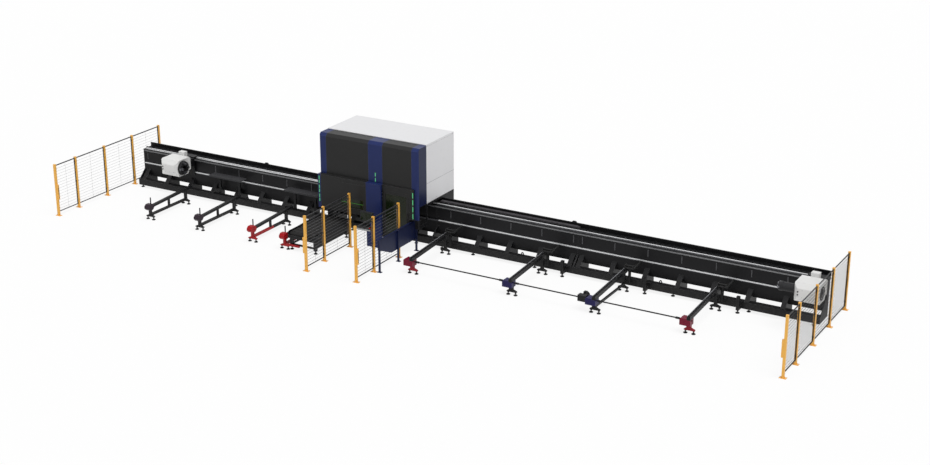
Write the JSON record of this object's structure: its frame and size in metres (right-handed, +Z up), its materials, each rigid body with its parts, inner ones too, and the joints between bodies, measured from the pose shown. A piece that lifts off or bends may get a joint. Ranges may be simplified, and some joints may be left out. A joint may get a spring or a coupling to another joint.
{
  "type": "tube laser cutting line",
  "caption": "Long tube laser cutting line: side-hung bed with travelling chucks, closed cutting station, chain loading arms, unloading arms, part conveyor and safety fences.",
  "frame": {"origin": "on the floor, in the middle of the fenced area", "axes": "+X along the line from the unloading end to the loading end, +Y away from the operator, +Z up"},
  "size_m": [25.56, 5.394, 3.48],
  "materials": {
    "bed_paint": "satin black paint",
    "loader_paint": "satin black paint, front legs coloured",
    "unloader_paint": "satin black paint, two front ends red",
    "shaft_black": "blackened",
    "rail_steel": "ground",
    "chain_plastic": "matt",
    "chuck_white": "satin white paint",
    "chuck_dark": "blackened",
    "jaw_steel": "ground",
    "panel_grey": "satin anthracite paint",
    "table_grey": "satin dark grey paint",
    "block_maroon": "satin paint",
    "stop_red": "satin paint",
    "belt_rubber": "matt",
    "cover_white": "satin white paint",
    "hood_blue": "satin blue paint",
    "tinted_glass": "tinted safety glass",
    "led_green": "lit diffuser",
    "bridge_grey": "satin paint",
    "carriage_alu": "machined",
    "console_black": "matt",
    "button_red": "gloss",
    "fence_orange": "satin orange paint",
    "mesh_black": "satin black paint"
  },
  "bodies": {
    "base": {"outfeed_bed": "bed_paint", "cutting_base": "bed_paint", "infeed_bed_inner": "bed_paint", "infeed_bed_outer": "bed_paint", "guide_rails": "rail_steel", "cable_trough": "bed_paint", "drag_chain": "chain_plastic", "levelling_feet": "bed_paint", "middle_stand": "panel_grey", "loader_arms": "loader_paint", "loader_blocks": "block_maroon", "loader_motor": "bed_paint", "unloading_arms": "unloader_paint", "stop_blocks": "stop_red", "conveyor_frame": "bed_paint", "conveyor_belt": "belt_rubber", "cabinet_cover": "cover_white", "front_frame": "hood_blue", "front_panels": "panel_grey", "front_window": "tinted_glass", "led_strips": "led_green", "cutting_bridge": "bridge_grey", "guard_panel": "hood_blue", "fence_posts": "fence_orange", "fence_panels": "mesh_black", "light_curtains": "fence_orange"},
    "outfeed_carriage": {"outfeed_saddle": "bed_paint", "outfeed_casing": "chuck_white"},
    "outfeed_rotor": {"outfeed_chuck": "chuck_dark"},
    "feed_carriage": {"feed_saddle": "bed_paint", "feed_casing": "chuck_white"},
    "feed_rotor": {"feed_chuck": "chuck_dark"},
    "middle_rotor": {"middle_chuck": "chuck_dark"},
    "table_outer": {"outfeed_table_outer": "table_grey"},
    "table_inner": {"outfeed_table_inner": "table_grey"},
    "loading_shaft": {"loader_shaft": "shaft_black"},
    "lift_1": {"tube_lift_1": "panel_grey"},
    "lift_2": {"tube_lift_2": "panel_grey"},
    "lift_3": {"tube_lift_3": "panel_grey"},
    "lift_4": {"tube_lift_4": "panel_grey"},
    "front_roller": {"head_roller": "rail_steel"},
    "rear_roller": {"tail_roller": "rail_steel"},
    "sliding_door": {"door": "panel_grey", "door_glass": "tinted_glass"},
    "head_slide": {"head_carriage": "carriage_alu"},
    "laser_head": {"cutting_head": "chuck_white"},
    "operator_console": {"console": "console_black"},
    "stop_key": {"stop_button": "button_red"},
    "outfeed_jaw_1": {"outfeed_jaw_1": "jaw_steel"},
    "outfeed_jaw_2": {"outfeed_jaw_2": "jaw_steel"},
    "outfeed_jaw_3": {"outfeed_jaw_3": "jaw_steel"},
    "outfeed_jaw_4": {"outfeed_jaw_4": "jaw_steel"},
    "feed_jaw_1": {"feed_jaw_1": "jaw_steel"},
    "feed_jaw_2": {"feed_jaw_2": "jaw_steel"},
    "feed_jaw_3": {"feed_jaw_3": "jaw_steel"},
    "feed_jaw_4": {"feed_jaw_4": "jaw_steel"},
    "middle_jaw_1": {"middle_jaw_1": "jaw_steel"},
    "middle_jaw_2": {"middle_jaw_2": "jaw_steel"},
    "middle_jaw_3": {"middle_jaw_3": "jaw_steel"},
    "middle_jaw_4": {"middle_jaw_4": "jaw_steel"}
  },
  "joints": [
    {"name": "outfeed_travel", "type": "slide", "parent": "base", "child": "outfeed_carriage", "axis": [1, 0, 0], "range_m": [-1.35, 5.6]},
    {"name": "feed_travel", "type": "slide", "parent": "base", "child": "feed_carriage", "axis": [1, 0, 0], "range_m": [-10.4, 0]},
    {"name": "outfeed_spin", "type": "hinge", "parent": "outfeed_carriage", "child": "outfeed_rotor", "pos_m": [-9.94682, 0.6, 1.215], "axis": [1, 0, 0], "continuous": true},
    {"name": "feed_spin", "type": "hinge", "parent": "feed_carriage", "child": "feed_rotor", "pos_m": [11.86, 0.6, 1.215], "axis": [1, 0, 0], "continuous": true},
    {"name": "middle_spin", "type": "hinge", "parent": "base", "child": "middle_rotor", "pos_m": [-1.824, 0.6, 1.215], "axis": [1, 0, 0], "continuous": true},
    {"name": "outfeed_jaw_1_slide", "type": "slide", "parent": "outfeed_rotor", "child": "outfeed_jaw_1", "axis": [0, 0, 1], "range_m": [0, 0.06]},
    {"name": "outfeed_jaw_2_slide", "type": "slide", "parent": "outfeed_rotor", "child": "outfeed_jaw_2", "axis": [0, -1, 0], "range_m": [0, 0.06]},
    {"name": "outfeed_jaw_3_slide", "type": "slide", "parent": "outfeed_rotor", "child": "outfeed_jaw_3", "axis": [0, 0, -1], "range_m": [0, 0.06]},
    {"name": "outfeed_jaw_4_slide", "type": "slide", "parent": "outfeed_rotor", "child": "outfeed_jaw_4", "axis": [0, 1, 0], "range_m": [0, 0.06]},
    {"name": "feed_jaw_1_slide", "type": "slide", "parent": "feed_rotor", "child": "feed_jaw_1", "axis": [0, 0, -1], "range_m": [0, 0.02]},
    {"name": "feed_jaw_2_slide", "type": "slide", "parent": "feed_rotor", "child": "feed_jaw_2", "axis": [0, -1, 0], "range_m": [0, 0.02]},
    {"name": "feed_jaw_3_slide", "type": "slide", "parent": "feed_rotor", "child": "feed_jaw_3", "axis": [0, 0, 1], "range_m": [0, 0.02]},
    {"name": "feed_jaw_4_slide", "type": "slide", "parent": "feed_rotor", "child": "feed_jaw_4", "axis": [0, 1, 0], "range_m": [0, 0.02]},
    {"name": "middle_jaw_1_slide", "type": "slide", "parent": "middle_rotor", "child": "middle_jaw_1", "axis": [0, 0, -1], "range_m": [0, 0.06]},
    {"name": "middle_jaw_2_slide", "type": "slide", "parent": "middle_rotor", "child": "middle_jaw_2", "axis": [0, -1, 0], "range_m": [0, 0.06]},
    {"name": "middle_jaw_3_slide", "type": "slide", "parent": "middle_rotor", "child": "middle_jaw_3", "axis": [0, 0, 1], "range_m": [0, 0.06]},
    {"name": "middle_jaw_4_slide", "type": "slide", "parent": "middle_rotor", "child": "middle_jaw_4", "axis": [0, 1, 0], "range_m": [0, 0.06]},
    {"name": "table_outer_tilt", "type": "hinge", "parent": "base", "child": "table_outer", "pos_m": [-9.09037, 1.188, 0.935], "axis": [1, 0, 0], "range_deg": [0, 35]},
    {"name": "table_inner_tilt", "type": "hinge", "parent": "base", "child": "table_inner", "pos_m": [-5.95416, 1.188, 0.935], "axis": [1, 0, 0], "range_deg": [0, 35]},
    {"name": "loader_spin", "type": "hinge", "parent": "base", "child": "loading_shaft", "pos_m": [0.38343, -1.177, 0.395], "axis": [1, 0, 0], "continuous": true},
    {"name": "lift_1_raise", "type": "slide", "parent": "base", "child": "lift_1", "axis": [0, 0, 1], "range_m": [0, 0.22]},
    {"name": "lift_2_raise", "type": "slide", "parent": "base", "child": "lift_2", "axis": [0, 0, 1], "range_m": [0, 0.22]},
    {"name": "lift_3_raise", "type": "slide", "parent": "base", "child": "lift_3", "axis": [0, 0, 1], "range_m": [0, 0.22]},
    {"name": "lift_4_raise", "type": "slide", "parent": "base", "child": "lift_4", "axis": [0, 0, 1], "range_m": [0, 0.22]},
    {"name": "front_roller_spin", "type": "hinge", "parent": "base", "child": "front_roller", "pos_m": [-3.591, -1.307, 0.52], "axis": [1, 0, 0], "continuous": true},
    {"name": "rear_roller_spin", "type": "hinge", "parent": "base", "child": "rear_roller", "pos_m": [-3.591, 0.433, 0.52], "axis": [1, 0, 0], "continuous": true},
    {"name": "door_slide", "type": "slide", "parent": "base", "child": "sliding_door", "axis": [1, 0, 0], "range_m": [-0.85, 0]},
    {"name": "head_cross", "type": "slide", "parent": "base", "child": "head_slide", "axis": [0, 1, 0], "range_m": [-0.12, 0.12]},
    {"name": "head_height", "type": "slide", "parent": "head_slide", "child": "laser_head", "axis": [0, 0, 1], "range_m": [-0.03, 0.25]},
    {"name": "console_swing", "type": "hinge", "parent": "base", "child": "operator_console", "pos_m": [-1.794, 0.058, 0.99], "axis": [0, 0, 1], "range_deg": [-15, 60]},
    {"name": "stop_press", "type": "slide", "parent": "operator_console", "child": "stop_key", "axis": [0, 0, 1], "range_m": [-0.006, 0], "stiffness_N_per_m": 2500}
  ],
  "couplings": [
    {"joint": "outfeed_jaw_2_slide", "follows": "outfeed_jaw_1_slide", "ratio": 1},
    {"joint": "outfeed_jaw_3_slide", "follows": "outfeed_jaw_1_slide", "ratio": 1},
    {"joint": "outfeed_jaw_4_slide", "follows": "outfeed_jaw_1_slide", "ratio": 1},
    {"joint": "feed_jaw_2_slide", "follows": "feed_jaw_1_slide", "ratio": 1},
    {"joint": "feed_jaw_3_slide", "follows": "feed_jaw_1_slide", "ratio": 1},
    {"joint": "feed_jaw_4_slide", "follows": "feed_jaw_1_slide", "ratio": 1},
    {"joint": "middle_jaw_2_slide", "follows": "middle_jaw_1_slide", "ratio": 1},
    {"joint": "middle_jaw_3_slide", "follows": "middle_jaw_1_slide", "ratio": 1},
    {"joint": "middle_jaw_4_slide", "follows": "middle_jaw_1_slide", "ratio": 1},
    {"joint": "rear_roller_spin", "follows": "front_roller_spin", "ratio": 1}
  ]
}
